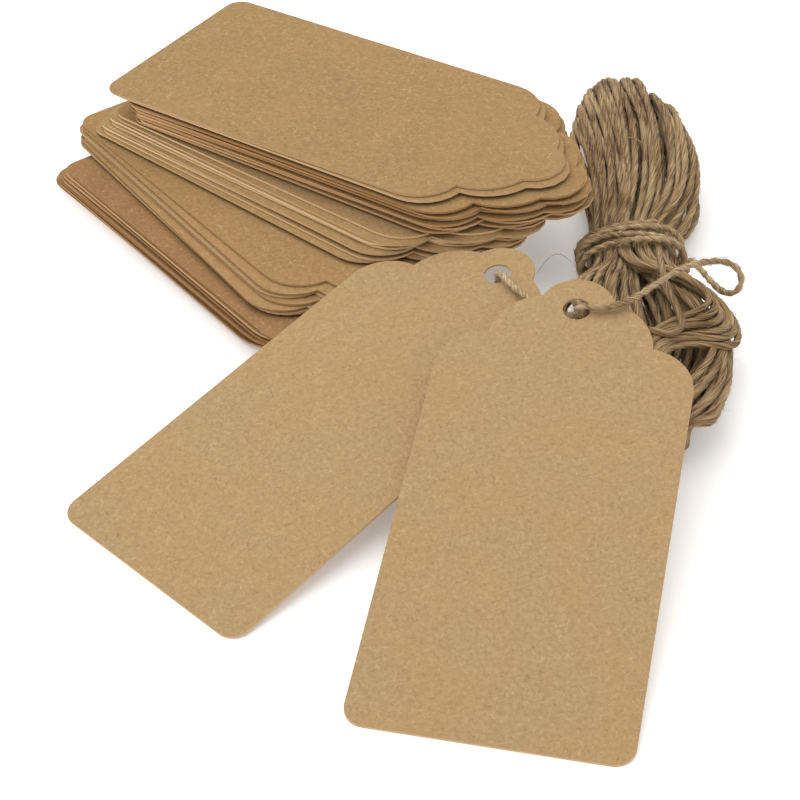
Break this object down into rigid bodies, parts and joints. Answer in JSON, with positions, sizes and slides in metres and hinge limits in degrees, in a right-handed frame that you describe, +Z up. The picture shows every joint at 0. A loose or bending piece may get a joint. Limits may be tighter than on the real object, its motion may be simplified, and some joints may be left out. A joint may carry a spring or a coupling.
{
  "type": "gift tag set",
  "caption": "Scalloped kraft card gift tags in a loose fanned stack, with strung tags on jute twine that runs from a hank tied at its waist.",
  "frame": {"origin": "middle of the tags' outline box on the table that the set lies on", "axes": "+X to the viewer's right, +Y away from the viewer along the hank, +Z up"},
  "size_m": [0.135, 0.197, 0.0241],
  "materials": {
    "kraft_card": "matte",
    "jute_twine": "matte, hairy"
  },
  "bodies": {
    "lower_stack_and_twine": {"bottom_sheaf_tag_01": "kraft_card", "bottom_sheaf_tag_02": "kraft_card", "bottom_sheaf_tag_03": "kraft_card", "bottom_sheaf_tag_04": "kraft_card", "bottom_sheaf_tag_05": "kraft_card", "bottom_sheaf_tag_06": "kraft_card", "bottom_sheaf_tag_07": "kraft_card", "bottom_sheaf_tag_08": "kraft_card", "bottom_sheaf_tag_09": "kraft_card", "bottom_sheaf_tag_10": "kraft_card", "bottom_sheaf_tag_11": "kraft_card", "bottom_sheaf_tag_12": "kraft_card", "bottom_sheaf_tag_13": "kraft_card", "bottom_sheaf_tag_14": "kraft_card", "third_sheaf_tag_01": "kraft_card", "third_sheaf_tag_02": "kraft_card", "third_sheaf_tag_03": "kraft_card", "third_sheaf_tag_04": "kraft_card", "third_sheaf_tag_05": "kraft_card", "third_sheaf_tag_06": "kraft_card", "twine_hank": "jute_twine", "waist_tie": "jute_twine", "tag_string": "jute_twine"},
    "second_sheaf": {"second_sheaf_tag_01": "kraft_card", "second_sheaf_tag_02": "kraft_card", "second_sheaf_tag_03": "kraft_card", "second_sheaf_tag_04": "kraft_card", "second_sheaf_tag_05": "kraft_card", "second_sheaf_tag_06": "kraft_card", "second_sheaf_tag_07": "kraft_card", "second_sheaf_tag_08": "kraft_card"},
    "top_sheaf": {"top_sheaf_tag_01": "kraft_card", "top_sheaf_tag_02": "kraft_card", "top_sheaf_tag_03": "kraft_card", "top_sheaf_tag_04": "kraft_card", "top_sheaf_tag_05": "kraft_card", "top_sheaf_tag_06": "kraft_card", "top_sheaf_tag_07": "kraft_card", "top_sheaf_tag_08": "kraft_card", "top_sheaf_tag_09": "kraft_card", "top_pair_tag_01": "kraft_card"},
    "top_tag": {"top_pair_tag_02": "kraft_card"},
    "left_tag": {"left_strung_tag": "kraft_card"},
    "front_tag": {"front_strung_tag": "kraft_card"}
  },
  "joints": [
    {"name": "second_sheaf_lift", "type": "slide", "parent": "lower_stack_and_twine", "child": "second_sheaf", "axis": [0, 0, 1], "range_m": [0, 0.03]},
    {"name": "top_sheaf_fan", "type": "hinge", "parent": "second_sheaf", "child": "top_sheaf", "pos_m": [-0.034, 0.079, 0.0175], "axis": [0, 0, 1], "range_deg": [-9, 6]},
    {"name": "top_tag_lift", "type": "slide", "parent": "top_sheaf", "child": "top_tag", "axis": [0, 0, 1], "range_m": [0, 0.04]},
    {"name": "left_tag_swing", "type": "hinge", "parent": "lower_stack_and_twine", "child": "left_tag", "pos_m": [0.02944, 0.00538, 0.01542], "axis": [-0.1242, -0.12, 0.985], "range_deg": [-2, 10]},
    {"name": "front_tag_swing", "type": "hinge", "parent": "lower_stack_and_twine", "child": "front_tag", "pos_m": [0.0425, -0.01025, 0.01842], "axis": [-0.0508, -0.2005, 0.9784], "range_deg": [-24, 20]}
  ]
}
